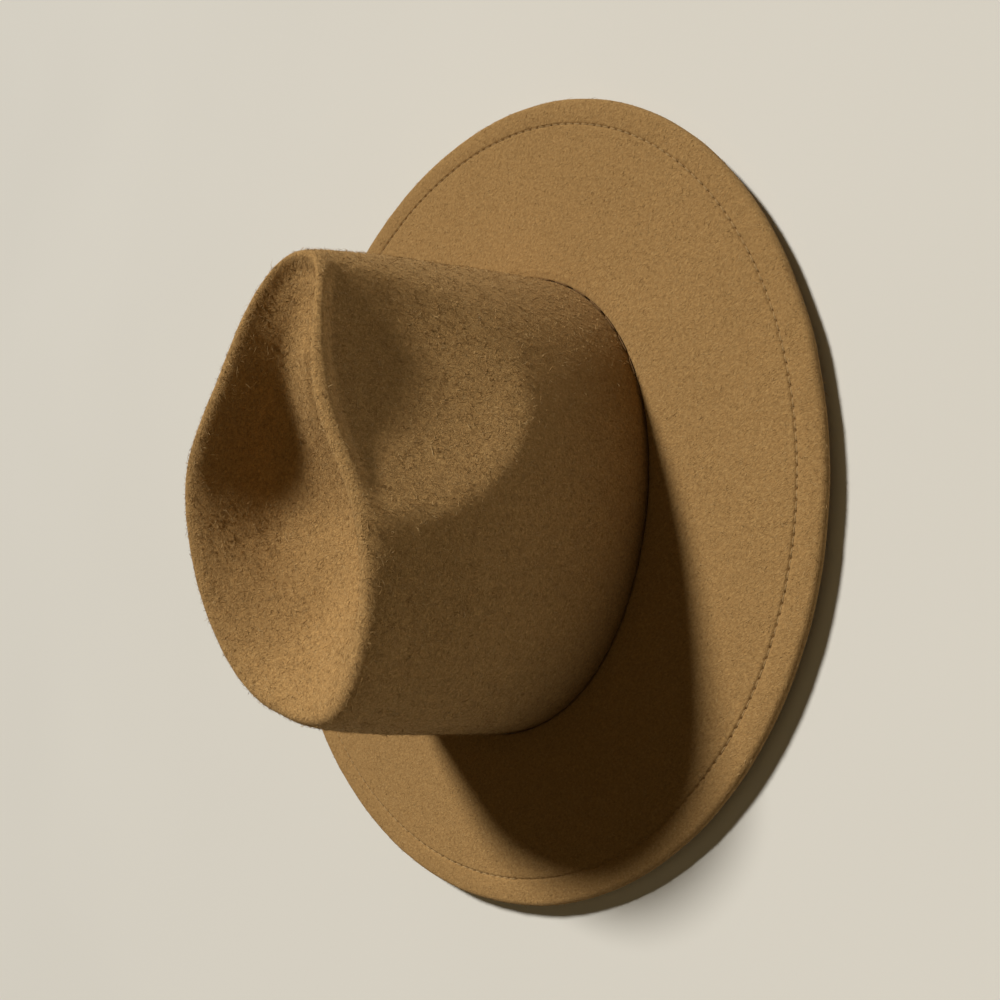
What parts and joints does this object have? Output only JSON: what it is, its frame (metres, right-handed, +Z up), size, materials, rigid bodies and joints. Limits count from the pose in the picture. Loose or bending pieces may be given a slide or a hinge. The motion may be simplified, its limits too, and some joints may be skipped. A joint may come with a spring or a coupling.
{
  "type": "felt cowboy hat",
  "caption": "Wide-brimmed camel felt hat with a teardrop-dented, pinched crown, a flat brim with a turned and stitched edge, and a sweatband inside.",
  "frame": {"origin": "centre of the brim, on the flat underside of its turned edge, where the hat rests", "axes": "+Z up through the crown, -Y to the front of the hat (the pinched end), the wearer's right at -X"},
  "size_m": [0.3142, 0.3594, 0.1337],
  "materials": {
    "crown_felt": "brushed wool felt with a short nap",
    "brim_felt": "brushed wool felt with a short nap",
    "wire_steel": "drawn spring wire",
    "thread": "spun sewing thread, close to the felt in colour",
    "band_cloth": "ribbed cotton band",
    "reed_plastic": "smooth plastic cord",
    "bow_ribbon": "ribbed ribbon",
    "label_cloth": "woven label, blank"
  },
  "bodies": {
    "root": {"crown": "crown_felt", "brim": "brim_felt", "brim_wire": "wire_steel", "brim_wire_sleeve": "wire_steel", "edge_seam_needle_thread": "thread", "edge_seam_bobbin_thread": "thread", "head_seam_needle_thread": "thread", "head_seam_bobbin_thread": "thread", "sweatband": "band_cloth", "sweatband_reed": "reed_plastic", "sweatband_joint_thread": "thread", "sweatband_bow": "bow_ribbon", "size_label": "label_cloth", "care_label": "label_cloth"}
  },
  "joints": []
}
